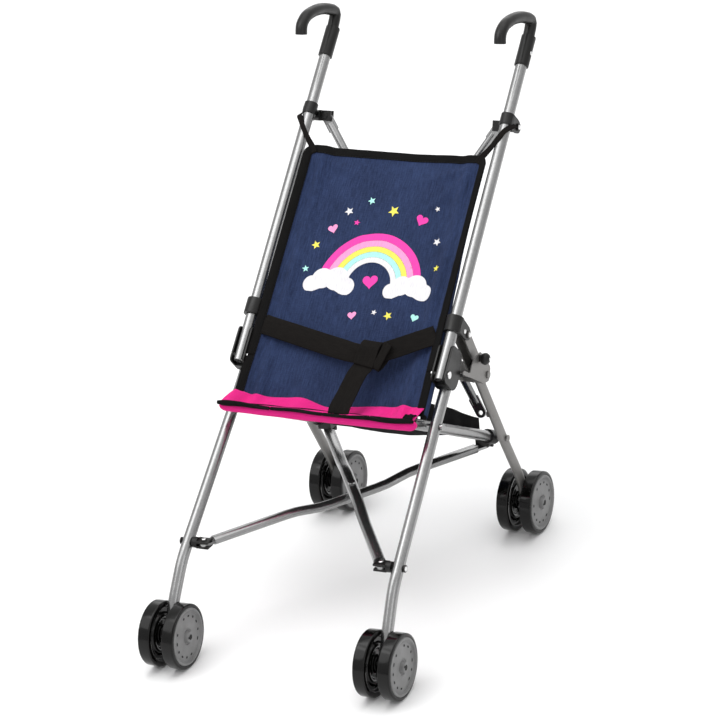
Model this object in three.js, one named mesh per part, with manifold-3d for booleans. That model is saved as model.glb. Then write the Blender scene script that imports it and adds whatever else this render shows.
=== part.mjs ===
// Folding doll stroller (umbrella fold), millimetres, +Z up, the front of the stroller faces -Y.
// Origin: on the ground, under the middle of the object's bounding box.
import * as THREE from "three";
import { mergeVertices } from "three/addons/utils/BufferGeometryUtils.js";
import Module from "manifold-3d";

const wasm = await Module();
wasm.setup();

// ---------- driving dimensions ----------
const CENTRE_SHIFT = 5;          // along y, puts the middle of the bounding box over the origin
const SIDE_X = 113.5;            // plane of each side frame, measured from the middle
const GAP = 0.3;                 // between pieces that touch
const TUBE_R = 6;                // handle tubes and front legs
const RAIL_R = 5.75;
const RAIL_X = 99.5;             // the rails run inside the legs
const HANDLE_ANGLE = 43;         // degrees above horizontal, towards the back
const LEG_ANGLE = 40;
const KNEE = [-37, 256.6];       // [y, z] of the pivot between handle tube and knee block
const BLOCK_RIVET = [-24.5, 242.8];
const LINK_TOP = [15, 278.5];    // link pivot in the ears of the upper clamp
const LEVER_PIVOT = [43.6, 222.3];
const RAIL_FRONT = [-62.5, 211]; // rail pivot on the front leg
const RAIL_REAR = [91, 128];     // rail end at the rear leg
const RAIL_TIP = [-86, 223.7];   // free front end of the rail
const SEAT_FRONT = [-102, 231];  // front edge of the seat cloth
const FRONT_AXLE = [-233.2, 33.5];
const REAR_AXLE = [135.8, 33.5];
const FRONT_WHEEL_X = 119.6;
const REAR_WHEEL_X = 111.7;
const WHEEL_R = 33.5;
const TYRE_WIDTH = 13.6;
const WHEEL_WIDTH = 40.2;        // over both tyres
const AXLE_R = 2.5;
const PIN_R = 2.4;
const HOLE_R = 2.7;
const HEAD_R = 3.8;
const HEAD_T = 1.4;
const BLOCK_HALF = 8;            // half width of the knee block
const LEVER_HALF = [11, 12.2];   // inner and outer face of the lever's plates, from SIDE_X
const FRONT_BRACE_PIN = [99, -180, 112.3];
const REAR_BRACE_PIN = [91, 90, 117];
const UPPER_BRACE_PIN = [100, 180.8, 440.6];
const LOWER_BRACE_PIN = [100, 73, 163.7];
const BACK_BRACE_R = 4.5;
const EYE = { thick: 2.6, width: 11, length: 18, hole: 2.4 }; // flat ends of the braces
const SEAT_HALF_WIDTH = 101;
const SEAT_THICKNESS = 2.4;

// ---------- finishes ----------
const steel = { color: 0xc9ccd1, roughness: 0.32, metalness: 0.9 };
const greySteel = { color: 0x9d9a9b, roughness: 0.5, metalness: 0.6 };
const zinc = { color: 0xd9dde0, roughness: 0.25, metalness: 1 };
const blackPlastic = { color: 0x1d1b1b, roughness: 0.55, metalness: 0 };
const tyreBlack = { color: 0x121212, roughness: 0.25, metalness: 0 };
const capGrey = { color: 0x6f7173, roughness: 0.5, metalness: 0 };
const navyCloth = { color: 0x1f2f5c, roughness: 0.9, metalness: 0 };
const pinkCloth = { color: 0xe12a8c, roughness: 0.85, metalness: 0 };
const blackWebbing = { color: 0x161413, roughness: 0.9, metalness: 0 };

// ---------- small tools ----------
const rad = THREE.MathUtils.degToRad;
const v3 = (x, y, z) => new THREE.Vector3(x, y, z);
const X_AXIS = v3(1, 0, 0);

// point in the side plane: from p, `along` at the angle and `off` to its left (up and forward)
function from(p, angle, along, off = 0) {
  const c = Math.cos(rad(angle));
  const s = Math.sin(rad(angle));
  return [p[0] + c * along - s * off, p[1] + s * along + c * off];
}
const onHandle = (along, off = 0) => from(KNEE, HANDLE_ANGLE, along, off);
const angleTo = (a, b) => THREE.MathUtils.radToDeg(Math.atan2(b[1] - a[1], b[0] - a[0]));
const in3 = (x, p) => v3(x, p[0], p[1]);

function solid(geometry) {
  const g = geometry.clone();
  for (const name of Object.keys(g.attributes)) if (name !== "position") g.deleteAttribute(name);
  const m = mergeVertices(g, 1e-4);
  return new wasm.Manifold(new wasm.Mesh({
    numProp: 3,
    vertProperties: new Float32Array(m.attributes.position.array),
    triVerts: new Uint32Array(m.index.array),
  }));
}
function geometryOf(manifold) {
  const m = manifold.getMesh();
  const g = new THREE.BufferGeometry();
  g.setAttribute("position", new THREE.BufferAttribute(new Float32Array(m.vertProperties), 3));
  g.setIndex(new THREE.BufferAttribute(new Uint32Array(m.triVerts), 1));
  g.computeVertexNormals();
  return g;
}
const join = (...parts) => geometryOf(parts.map(solid).reduce((a, b) => a.add(b)));
const cut = (body, ...tools) => geometryOf(tools.map(solid).reduce((a, b) => a.subtract(b), solid(body)));

// a centreline with straight runs and rounded corners, whose section keeps one side direction
class Route extends THREE.Curve {
  constructor(corners, bend = 10, side = X_AXIS, arcSteps = 4) {
    super();
    this.side = side;
    this.stops = [corners[0]];
    for (let i = 1; i < corners.length - 1; i++) {
      const [a, b, c] = [corners[i - 1], corners[i], corners[i + 1]];
      const reach = Math.min(bend, a.distanceTo(b) * 0.48, b.distanceTo(c) * 0.48);
      const inPoint = b.clone().lerp(a, reach / a.distanceTo(b));
      const outPoint = b.clone().lerp(c, reach / b.distanceTo(c));
      const arc = new THREE.QuadraticBezierCurve3(inPoint, b, outPoint);
      this.stops.push(...arc.getPoints(arcSteps));
    }
    this.stops.push(corners[corners.length - 1]);
    this.steps = this.stops.length - 1;
  }
  getPoint(t) {
    return this.stops[Math.round(t * this.steps)].clone();
  }
  getPointAt(t) {
    return this.getPoint(t);
  }
  getSpacedPoints() {
    return this.stops.map((p) => p.clone());
  }
  computeFrenetFrames() {
    const tangents = this.stops.map((_, i) => {
      const a = this.stops[Math.max(0, i - 1)];
      const b = this.stops[Math.min(this.steps, i + 1)];
      return b.clone().sub(a).normalize();
    });
    const normals = tangents.map((t) => this.side.clone().addScaledVector(t, -this.side.dot(t)).normalize());
    const binormals = tangents.map((t, i) => t.clone().cross(normals[i]));
    return { tangents, normals, binormals };
  }
}
function ovalShape(a, b, sides) {
  const shape = new THREE.Shape();
  for (let i = 0; i < sides; i++) {
    const t = (i / sides) * 2 * Math.PI;
    const [x, y] = [a * Math.cos(t), b * Math.sin(t)];
    if (i === 0) shape.moveTo(x, y);
    else shape.lineTo(x, y);
  }
  shape.closePath();
  return shape;
}
function sweep(shape, route) {
  return new THREE.ExtrudeGeometry(shape, { steps: route.steps, extrudePath: route, curveSegments: 1 });
}
const roundTube = (r, route, sides = 16) => sweep(ovalShape(r, r, sides), route);
const straightRod = (a, b, r, sides = 16) => roundTube(r, new Route([a, b], 1, sideFor(a, b)), sides);
function sideFor(a, b) {
  const d = b.clone().sub(a).normalize();
  return Math.abs(d.x) > 0.9 ? v3(0, 1, 0) : X_AXIS;
}
const crossRod = (x0, x1, p, r, sides = 16) => straightRod(in3(x0, p), in3(x1, p), r, sides);

// flat plate: an outline in the side plane, between two values of x
function plate(shape, x0, x1, curveSegments = 5) {
  const g = new THREE.ExtrudeGeometry(shape, { depth: x1 - x0, bevelEnabled: false, curveSegments });
  g.applyMatrix4(new THREE.Matrix4().makeBasis(v3(0, 1, 0), v3(0, 0, 1), v3(1, 0, 0)));
  return g.translate(x0, 0, 0);
}
// outline through points, each corner rounded by up to `radius`
function outline(points, radius) {
  const p = points.map(([a, b]) => new THREE.Vector2(a, b));
  const shape = new THREE.Shape();
  p.forEach((b, i) => {
    const a = p[(i + p.length - 1) % p.length];
    const c = p[(i + 1) % p.length];
    const start = b.clone().lerp(a, Math.min(0.45, radius / a.distanceTo(b)));
    const end = b.clone().lerp(c, Math.min(0.45, radius / b.distanceTo(c)));
    if (i === 0) shape.moveTo(start.x, start.y);
    else shape.lineTo(start.x, start.y);
    shape.quadraticCurveTo(b.x, b.y, end.x, end.y);
  });
  shape.closePath();
  return shape;
}
// pin along x with a domed head at each end that has one
function headedPin(x0, x1, p, heads = [true, true]) {
  const parts = [crossRod(x0, x1, p, PIN_R, 12)];
  if (heads[0]) parts.push(crossRod(x0 - HEAD_T, x0 + 0.01, p, HEAD_R, 12));
  if (heads[1]) parts.push(crossRod(x1 - 0.01, x1 + HEAD_T, p, HEAD_R, 12));
  return join(...parts);
}
function lathe(profile, segments) {
  return new THREE.LatheGeometry(profile.map(([r, h]) => new THREE.Vector2(r, h)), segments);
}
function mirrored(geometry) {
  const g = geometry.clone().scale(-1, 1, 1);
  const index = g.index ? g.index.array : null;
  if (index) {
    for (let i = 0; i < index.length; i += 3) [index[i], index[i + 1]] = [index[i + 1], index[i]];
    return g;
  }
  const p = g.attributes.position;
  for (let i = 0; i < p.count; i += 3) {
    for (const get of ["X", "Y", "Z"]) {
      const keep = p[`get${get}`](i);
      p[`set${get}`](i, p[`get${get}`](i + 1));
      p[`set${get}`](i + 1, keep);
    }
  }
  return g;
}

const stroller = new THREE.Group();
function add(name, geometry, finish, place = stroller) {
  const mesh = new THREE.Mesh(geometry, new THREE.MeshStandardMaterial(finish));
  mesh.name = name;
  place.add(mesh);
  return mesh;
}

// ---------- side frame (built for the right side, +X) ----------
const HANDLE_END = -6.5;         // open lower end of the tube, along it from the knee
const GRIP_MOUTH = 348;
const TUBE_IN_GRIP = 22;

function handleTube() {
  const end = in3(SIDE_X, onHandle(HANDLE_END));
  const top = in3(SIDE_X, onHandle(GRIP_MOUTH + TUBE_IN_GRIP));
  const tube = roundTube(TUBE_R, new Route([end, top]), 20);
  const boreDepth = 18;
  const bore = straightRod(in3(SIDE_X, onHandle(HANDLE_END - 1)), in3(SIDE_X, onHandle(HANDLE_END + boreDepth)), 4.8);
  return cut(tube, bore, crossRod(SIDE_X - 8, SIDE_X + 8, KNEE, HOLE_R));
}

function grip() {
  const sleeveEnd = onHandle(GRIP_MOUTH + 34);
  const sleeve = straightRod(in3(SIDE_X, onHandle(GRIP_MOUTH)), in3(SIDE_X, sleeveEnd), 7.6);
  const hookPoints = [onHandle(GRIP_MOUTH + 26), [254.65, 532.5], [226, 544.5], [203, 549], [184, 548.7],
    [173, 543], [170.5, 533.5]];
  const hook = roundTube(6.2, new Route(hookPoints.map((p) => in3(SIDE_X, p)), 10, X_AXIS, 3), 14);
  const socket = straightRod(in3(SIDE_X, onHandle(GRIP_MOUTH - 1)),
    in3(SIDE_X, onHandle(GRIP_MOUTH + TUBE_IN_GRIP + GAP)), TUBE_R + GAP);
  return cut(join(sleeve, hook), socket);
}

// bracket at the top of the back brace: a ring on the tube with one cheek behind it
function braceBracket() {
  const [from0, to0] = [278.5, 291];
  const ring = straightRod(in3(SIDE_X, onHandle(from0)), in3(SIDE_X, onHandle(to0)), 7.4);
  const cheek = plate(outline([onHandle(from0, 3), onHandle(from0, -19), onHandle(from0 + 8, -23),
    onHandle(to0 + 1, -15), onHandle(to0, 3)], 5), SIDE_X + 3.6, SIDE_X + 7);
  const bore = straightRod(in3(SIDE_X, onHandle(from0 - 3)), in3(SIDE_X, onHandle(to0 + 3)), TUBE_R + GAP, 20);
  return cut(join(ring, cheek), bore, crossRod(SIDE_X, SIDE_X + 12, UPPER_BRACE_PIN.slice(1), HOLE_R, 14));
}

// knuckle that pitches on a cross pin and holds a brace's flat eye between two lips.
// Built about the brace's pin: +X outwards, +Z the normal of the brace's plane.
function knuckle([px, py, pz], pitch, blockEnd, pinEnd) {
  const lip = EYE.thick / 2 + 0.35;
  const parts = [straightRod(v3(6.5, 0, 0), v3(blockEnd - px, 0, 0), 5.7, 14)];
  for (const sign of [1, -1]) {
    parts.push(new THREE.BoxGeometry(14, 11, 2.2).translate(0.5, 0, sign * (lip + 1.1)));
    parts.push(straightRod(v3(0, 0, sign * (lip + 2.1)), v3(0, 0, sign * (lip + 3)), 3.2, 12));
  }
  parts.push(straightRod(v3(0, 0, -lip - 1), v3(0, 0, lip + 1), EYE.hole - GAP, 12));
  const g = join(...parts).applyMatrix4(new THREE.Matrix4().makeRotationX(rad(pitch)));
  return join(g.translate(px, py, pz), headedPin(blockEnd - 1, pinEnd, [py, pz], [false, true]));
}
const backPitch = angleTo(LOWER_BRACE_PIN.slice(1), UPPER_BRACE_PIN.slice(1));
const braceKnuckle = () => knuckle(UPPER_BRACE_PIN, backPitch, SIDE_X + 3.2, SIDE_X + 7 + GAP);

function upperClamp() {
  const centre = 54;
  const sleeve = straightRod(in3(SIDE_X, onHandle(centre - 8.5)), in3(SIDE_X, onHandle(centre + 8.5)), 9);
  const ear = outline([onHandle(centre + 8, 2), onHandle(centre + 6, -21), onHandle(centre - 1, -27),
    onHandle(centre - 8, -21), onHandle(centre - 8, 2)], 6);
  const ears = plate(ear, SIDE_X - 9, SIDE_X + 9);
  const between = plate(outline([onHandle(centre + 30, -8.6), onHandle(centre - 30, -8.6),
    onHandle(centre - 30, -40), onHandle(centre + 30, -40)], 0.1), SIDE_X - 6.5, SIDE_X + 6.5, 1);
  const bore = straightRod(in3(SIDE_X, onHandle(centre - 12)), in3(SIDE_X, onHandle(centre + 12)), TUBE_R + GAP, 20);
  return cut(join(sleeve, ears), between, bore, crossRod(SIDE_X - 12, SIDE_X + 12, LINK_TOP, HOLE_R));
}

// plastic block on the top of the front leg: two cheeks beside the handle tube and a web behind it
function kneeBlock() {
  const body = plate(outline([onHandle(-9, 6), onHandle(31, 5.5), onHandle(31.5, -16), onHandle(13, -26),
    onHandle(-2, -26), onHandle(-10, -19)], 5), SIDE_X - BLOCK_HALF, SIDE_X + BLOCK_HALF);
  const slot = plate(outline([onHandle(-40, -TUBE_R - GAP), onHandle(60, -TUBE_R - GAP), onHandle(60, 30),
    onHandle(-40, 30)], 0.1), SIDE_X - TUBE_R - GAP, SIDE_X + TUBE_R + GAP, 1);
  const swing = crossRod(SIDE_X - TUBE_R - GAP, SIDE_X + TUBE_R + GAP, KNEE, 9.4, 20);
  const legBore = straightRod(in3(SIDE_X, from(BLOCK_RIVET, LEG_ANGLE, -60)),
    in3(SIDE_X, from(BLOCK_RIVET, LEG_ANGLE, 12.4)), TUBE_R + GAP, 20);
  const catchPlate = plate(outline([[-16, 247.5], [-15, 243.5], [1, 237.5], [2.5, 240.5]], 1),
    SIDE_X - 5, SIDE_X + 5);
  return cut(join(body, catchPlate), slot, swing, legBore, crossRod(SIDE_X - 12, SIDE_X + 12, KNEE, HOLE_R));
}

function frontLeg() {
  const corners = [in3(SIDE_X, from(BLOCK_RIVET, LEG_ANGLE, 12)), in3(SIDE_X, from(BLOCK_RIVET, LEG_ANGLE, -30)),
    v3(118.2, -196, 98.9), v3(FRONT_WHEEL_X, -224, 58), v3(FRONT_WHEEL_X, FRONT_AXLE[0] - 1.5, 25)];
  const tube = roundTube(TUBE_R, new Route(corners, 14), 18);
  return cut(tube, crossRod(90, 140, FRONT_AXLE, AXLE_R + GAP, 14), crossRod(90, 140, RAIL_FRONT, HOLE_R, 12),
    crossRod(90, 140, FRONT_BRACE_PIN.slice(1), HOLE_R, 12));
}

// channel from the upper clamp to the rear leg, open towards the front
function rearLink() {
  const angle = angleTo(LINK_TOP, LEVER_PIVOT);
  const end = from(LEVER_PIVOT, angle, 12);
  const shape = outline([from(LINK_TOP, angle, -6, 8), from(end, angle, 0, 8), from(end, angle, 0, -5),
    from(LINK_TOP, angle, -6, -5)], 4.5);
  const inside = outline([from(LINK_TOP, angle, -20, 6.7), from(end, angle, 20, 6.7), from(end, angle, 20, -20),
    from(LINK_TOP, angle, -20, -20)], 0.1);
  const channel = cut(plate(shape, SIDE_X - 6.1, SIDE_X + 6.1), plate(inside, SIDE_X - 4.8, SIDE_X + 4.8, 1),
    crossRod(90, 130, LEVER_PIVOT, HOLE_R, 12));
  return join(channel, headedPin(SIDE_X - 9 - GAP, SIDE_X + 9 + GAP, LINK_TOP));
}

// flat oval leg with the lever's pin, the rail rivet and the boss for the back brace
function rearLeg() {
  const angle = angleTo(LEVER_PIVOT, RAIL_REAR);
  const corners = [in3(SIDE_X, from(LEVER_PIVOT, angle, -12)), in3(SIDE_X, RAIL_REAR),
    in3(SIDE_X - 0.6, [126.5, 64]), in3(REAR_WHEEL_X, [REAR_AXLE[0] + 1.5, 26])];
  const tube = sweep(ovalShape(4.4, 6.2, 16), new Route(corners, 16));
  const leverPin = headedPin(SIDE_X - LEVER_HALF[1] - GAP, SIDE_X + LEVER_HALF[1] + GAP, LEVER_PIVOT);
  const railRivet = headedPin(RAIL_X + 8.3, SIDE_X + 5, RAIL_REAR, [false, true]);
  const boss = crossRod(LOWER_BRACE_PIN[0] + EYE.width / 2 + 2, SIDE_X, LOWER_BRACE_PIN.slice(1), 4, 12);
  return cut(join(tube, leverPin, railRivet, boss), crossRod(80, 140, REAR_AXLE, AXLE_R + GAP, 14));
}

// two plates beside the leg, joined in front of it below the pivot
function lockLever() {
  const shape = outline([[-13, 247], [-9, 250], [4, 240.5], [11, 248.5], [24, 252.5], [34.5, 252], [37, 243],
    [34, 239], [48, 233.5], [52.5, 227], [46, 214.5], [34, 216.5], [12, 231]], 3);
  const angle = angleTo(LINK_TOP, LEVER_PIVOT);
  const at = (along, off) => from(LEVER_PIVOT, angle, along, off);
  const web = plate(outline([at(-5, -9), at(-5, -11), at(1, -11), at(1, -9)], 0.2),
    SIDE_X - LEVER_HALF[1], SIDE_X + LEVER_HALF[1], 1);
  const plates = [-1, 1].map((side) => {
    const [x0, x1] = LEVER_HALF.map((d) => SIDE_X + side * d).sort((m, n) => m - n);
    return plate(shape, x0, x1);
  });
  return cut(join(...plates, web), crossRod(90, 130, LEVER_PIVOT, HOLE_R));
}

function leverKnob() {
  const ball = lathe([[0, 0], [3.6, 0], [3.6, 1.2], [5.3, 2.4], [6.2, 4.8], [6.1, 7], [4.8, 9.2],
    [2.4, 10.6], [0, 11]], 16);
  return ball.rotateZ(-Math.PI / 2);
}

function seatRail() {
  const angle = angleTo(RAIL_FRONT, RAIL_REAR);
  const tube = roundTube(RAIL_R, new Route([in3(RAIL_X, RAIL_TIP), in3(RAIL_X, from(RAIL_REAR, angle, 5))]), 16);
  return join(tube, headedPin(RAIL_X + 2, 121.3, RAIL_FRONT, [false, true]));
}

const frontClip = () => knuckle(FRONT_BRACE_PIN, 0, 111.2, 124.2);

// clip on the rear end of the rail, with a lug inwards above the end of the lower brace
function rearClip() {
  const angle = angleTo(RAIL_FRONT, RAIL_REAR);
  const a = in3(RAIL_X, from(RAIL_REAR, angle, -9));
  const b = in3(RAIL_X, from(RAIL_REAR, angle, 7.5));
  const bore = straightRod(in3(RAIL_X, from(RAIL_REAR, angle, -12)), in3(RAIL_X, from(RAIL_REAR, angle, 5.3)),
    RAIL_R + GAP);
  const lug = new THREE.BoxGeometry(15, 13, 9).translate(REAR_BRACE_PIN[0] + 1.5, REAR_BRACE_PIN[1], 124);
  const lip = new THREE.BoxGeometry(13, 2.5, 13).translate(REAR_BRACE_PIN[0] + 1, REAR_BRACE_PIN[1] + 7.5, 120);
  return cut(join(straightRod(a, b, 7.6), lug, lip), bore);
}

const kneePin = () => headedPin(SIDE_X - BLOCK_HALF - GAP, SIDE_X + BLOCK_HALF + GAP, KNEE);

const sidePieces = [
  ["handle_tube", handleTube(), steel],
  ["grip", grip(), blackPlastic],
  ["brace_bracket", braceBracket(), blackPlastic],
  ["brace_knuckle", braceKnuckle(), blackPlastic],
  ["upper_clamp", upperClamp(), blackPlastic],
  ["knee_block", kneeBlock(), blackPlastic],
  ["knee_pin", kneePin(), zinc],
  ["front_leg", frontLeg(), steel],
  ["rear_link", rearLink(), greySteel],
  ["rear_leg", rearLeg(), greySteel],
  ["lock_lever", lockLever(), greySteel],
  ["seat_rail", seatRail(), steel],
  ["front_clip", frontClip(), blackPlastic],
  ["rear_clip", rearClip(), blackPlastic],
];
for (const [name, geometry, finish] of sidePieces) {
  add(`${name}_right`, geometry, finish);
  add(`${name}_left`, mirrored(geometry), finish);
}
for (const [side, x] of [["right", SIDE_X], ["left", -SIDE_X]]) {
  const knob = add(`lever_knob_${side}`, leverKnob(), blackPlastic);
  if (x < 0) knob.geometry.rotateZ(Math.PI);
  knob.position.set(x + Math.sign(x) * (LEVER_HALF[1] + GAP), 29.5, 246.5);
}

// ---------- cross braces ----------
// A brace runs from a pin on one side to a pin on the other. It is built along its own +X in a local
// frame whose +Z is the normal of the brace's plane, and bends by `rise` where it passes its twin.
function brace(name, start, end, rise, section, rivet = 0) {
  const a = v3(...start);
  const b = v3(...end);
  const length = a.distanceTo(b);
  const along = b.clone().sub(a).normalize();
  const up = X_AXIS.clone().cross(along).normalize();
  if (up.z < 0) up.negate();
  const across = up.clone().cross(along);
  const mid = length * (Math.abs(a.x) / (Math.abs(a.x) + Math.abs(b.x)));
  const trim = EYE.length - 8;
  const corners = [v3(trim, 0, 0), v3(mid - 66, 0, 0), v3(mid - 40, 0, rise), v3(mid + 40, 0, rise),
    v3(mid + 66, 0, 0), v3(length - trim, 0, 0)];
  const parts = [sweep(section, new Route(corners, 12, v3(0, 1, 0), 2))];
  for (const [x, dir] of [[0, 1], [length, -1]]) {
    const tab = new THREE.BoxGeometry(EYE.length, EYE.width, EYE.thick);
    parts.push(tab.translate(x + (dir * EYE.length) / 2, 0, 0));
    parts.push(straightRod(v3(x, 0, -EYE.thick / 2), v3(x, 0, EYE.thick / 2), EYE.width / 2));
  }
  const holes = [0, length].map((x) => straightRod(v3(x, 0, -9), v3(x, 0, 9), EYE.hole, 12));
  if (rivet) {
    const face = rise + rivet;
    parts.push(straightRod(v3(mid, 0, face - 1), v3(mid, 0, face + 1.6), 4, 12));
  }
  const geometry = cut(join(...parts), ...holes);
  const mesh = add(name, geometry, steel);
  mesh.applyMatrix4(new THREE.Matrix4().makeBasis(along, across, up).setPosition(a));
}
const across = ([x, y, z]) => [-x, y, z];
const lowerSection = ovalShape(6.2, 4.6, 12);
const backSection = ovalShape(BACK_BRACE_R, BACK_BRACE_R, 12);
brace("lower_brace_right", FRONT_BRACE_PIN, across(REAR_BRACE_PIN), 5.4, lowerSection, 4.6);
brace("lower_brace_left", across(FRONT_BRACE_PIN), REAR_BRACE_PIN, -5.4, lowerSection);
brace("back_brace_right", UPPER_BRACE_PIN, across(LOWER_BRACE_PIN), 5.2, backSection,
  BACK_BRACE_R);
brace("back_brace_left", across(UPPER_BRACE_PIN), LOWER_BRACE_PIN, -5.2, backSection);

// ---------- double wheels ----------
const HALF_WIDTH = WHEEL_WIDTH / 2;
const TYRE_MID = HALF_WIDTH - TYRE_WIDTH / 2;
const CAP_R = 26.5;

// tyre, +Y of the lathe is its outer side: rolled tread, web at mid width and a hub
function tyre() {
  const w = TYRE_WIDTH / 2;
  return lathe([[AXLE_R + GAP, -w], [8.5, -w], [8.5, -2], [27.5, -2], [28.5, -w], [31.5, -w],
    [WHEEL_R, -w + 3], [WHEEL_R, w - 3], [31.5, w], [27.2, w], [27.2, 1], [AXLE_R + GAP, 1],
    [AXLE_R + GAP, -w]], 24);
}
function hubcap() {
  const low = 1 + GAP;
  const w = TYRE_WIDTH / 2;
  return lathe([[AXLE_R + GAP, low], [CAP_R, low], [CAP_R, w], [23.5, w], [22.5, w - 1.2],
    [8, w - 1.2], [7, w], [AXLE_R + GAP, w], [AXLE_R + GAP, low]], 24);
}
function axle() {
  const end = HALF_WIDTH + 0.3;
  return lathe([[0, -end - 1.6], [3.4, -end - 1.2], [4.4, -end], [AXLE_R, -end], [AXLE_R, end], [4.4, end],
    [3.4, end + 1.2], [0, end + 1.6]], 14);
}
function wheel(name, x, [y, z]) {
  const hub = new THREE.Group();
  hub.position.set(x, y, z);
  hub.rotation.z = -Math.PI / 2; // the lathe axis +Y becomes +X
  stroller.add(hub);
  for (const [place, sign] of [["plus", 1], ["minus", -1]]) {
    const half = new THREE.Group();
    half.position.y = sign * TYRE_MID;
    half.rotation.x = sign > 0 ? 0 : Math.PI;
    hub.add(half);
    const where = (sign > 0) === (x > 0) ? "outer" : "inner";
    add(`${name}_tyre_${where}`, tyre(), tyreBlack, half);
    add(`${name}_cap_${where}`, hubcap(), capGrey, half);
  }
  add(`${name}_axle`, axle(), zinc, hub);
}
wheel("wheel_front_right", FRONT_WHEEL_X, FRONT_AXLE);
wheel("wheel_front_left", -FRONT_WHEEL_X, FRONT_AXLE);
wheel("wheel_rear_right", REAR_WHEEL_X, REAR_AXLE);
wheel("wheel_rear_left", -REAR_WHEEL_X, REAR_AXLE);

// ---------- seat cloth and harness (plain solids of the right size and place) ----------
const SEAT_TOP = 248;            // along the handle, from the knee
const SEAT_CREASE = 0.4;
const SEAT_LOW = -44;

function clothSlab(name, p, q, thickness, halfWidth, finish) {
  const angle = angleTo(p, q);
  const t = thickness / 2;
  const shape = outline([from(p, angle, 0, t), from(p, angle, 0, -t), from(q, angle, 0, -t),
    from(q, angle, 0, t)], 0.2);
  add(name, plate(shape, -halfWidth, halfWidth, 1), finish);
}
clothSlab("seat_back", onHandle(SEAT_CREASE), onHandle(SEAT_TOP), SEAT_THICKNESS, SEAT_HALF_WIDTH, navyCloth);
clothSlab("seat_back_lower", onHandle(SEAT_LOW), onHandle(-SEAT_CREASE), SEAT_THICKNESS, SEAT_HALF_WIDTH - 9,
  navyCloth);
const railAngle = angleTo(RAIL_FRONT, RAIL_REAR);
clothSlab("seat_bottom", SEAT_FRONT, from(RAIL_REAR, railAngle, -12, 0), SEAT_THICKNESS,
  SEAT_HALF_WIDTH - 9, pinkCloth);

// waist belt in front of the seat back, and the strap from the seat's front edge up to it
function strap(name, p, q, x0, x1) {
  const angle = angleTo(p, q);
  add(name, plate(outline([from(p, angle, 0, 1.2), from(p, angle, 0, -1.2), from(q, angle, 0, -1.2),
    from(q, angle, 0, 1.2)], 0.2), x0, x1, 1), blackWebbing);
}
strap("waist_belt", onHandle(16, 5), onHandle(38, 5), -SEAT_HALF_WIDTH + 2, SEAT_HALF_WIDTH - 2);
strap("crotch_strap", [-90, 231], onHandle(12, 7), 12, 38);

stroller.position.y = CENTRE_SHIFT;
export default stroller;
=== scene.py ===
import math

import bpy
import numpy as np
from mathutils import Matrix, Vector, geometry, noise


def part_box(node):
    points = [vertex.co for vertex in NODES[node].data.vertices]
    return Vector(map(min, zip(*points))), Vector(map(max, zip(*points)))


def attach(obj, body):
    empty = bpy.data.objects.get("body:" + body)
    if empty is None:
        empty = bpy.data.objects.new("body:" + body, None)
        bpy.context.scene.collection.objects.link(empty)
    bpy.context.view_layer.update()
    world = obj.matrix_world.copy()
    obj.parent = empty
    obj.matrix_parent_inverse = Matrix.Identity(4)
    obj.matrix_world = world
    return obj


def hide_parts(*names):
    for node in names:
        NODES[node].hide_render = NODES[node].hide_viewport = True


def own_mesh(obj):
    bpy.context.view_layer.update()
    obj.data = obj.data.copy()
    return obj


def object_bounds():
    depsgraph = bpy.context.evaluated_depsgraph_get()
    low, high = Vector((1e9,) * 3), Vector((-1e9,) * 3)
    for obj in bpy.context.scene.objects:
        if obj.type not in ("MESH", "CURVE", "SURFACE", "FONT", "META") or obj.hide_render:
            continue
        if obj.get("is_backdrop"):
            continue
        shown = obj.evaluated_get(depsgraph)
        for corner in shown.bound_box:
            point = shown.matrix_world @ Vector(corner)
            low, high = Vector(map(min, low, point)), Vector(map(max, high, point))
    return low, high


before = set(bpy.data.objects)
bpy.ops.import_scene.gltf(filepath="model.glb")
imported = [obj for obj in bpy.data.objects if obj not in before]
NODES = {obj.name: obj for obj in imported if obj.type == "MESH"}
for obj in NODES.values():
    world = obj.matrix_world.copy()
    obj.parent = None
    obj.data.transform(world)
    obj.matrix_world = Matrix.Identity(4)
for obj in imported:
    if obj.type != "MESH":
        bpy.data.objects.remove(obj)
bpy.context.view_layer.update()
MM = 0.001

# ---------- camera ----------
TARGET = Vector((0.0, 13.07, 242.1)) * MM
DISTANCE = 3.2813
SENSOR = 36.0
LENS = 160.072
AZ, EL, ROLL = (math.radians(a) for a in (28.206, 23.070, -6.369))


def make_camera():
    """A long lens on the studio's front right, rolled a little about its own axis."""
    back = Vector((math.sin(AZ) * math.cos(EL), -math.cos(AZ) * math.cos(EL), math.sin(EL)))
    right = Vector((math.cos(AZ), math.sin(AZ), 0))
    up = back.cross(right)
    c, s = math.cos(ROLL), math.sin(ROLL)
    rolled_right, rolled_up = c * right + s * up, -s * right + c * up
    data = bpy.data.cameras.new("camera")
    data.sensor_width = SENSOR
    data.lens = LENS
    data.clip_end = 50
    cam = bpy.data.objects.new("camera", data)
    bpy.context.scene.collection.objects.link(cam)
    rotation = Matrix((rolled_right, rolled_up, back)).transposed()
    cam.matrix_world = Matrix.Translation(TARGET + back * DISTANCE) @ rotation.to_4x4()
    bpy.context.scene.camera = cam


make_camera()


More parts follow.
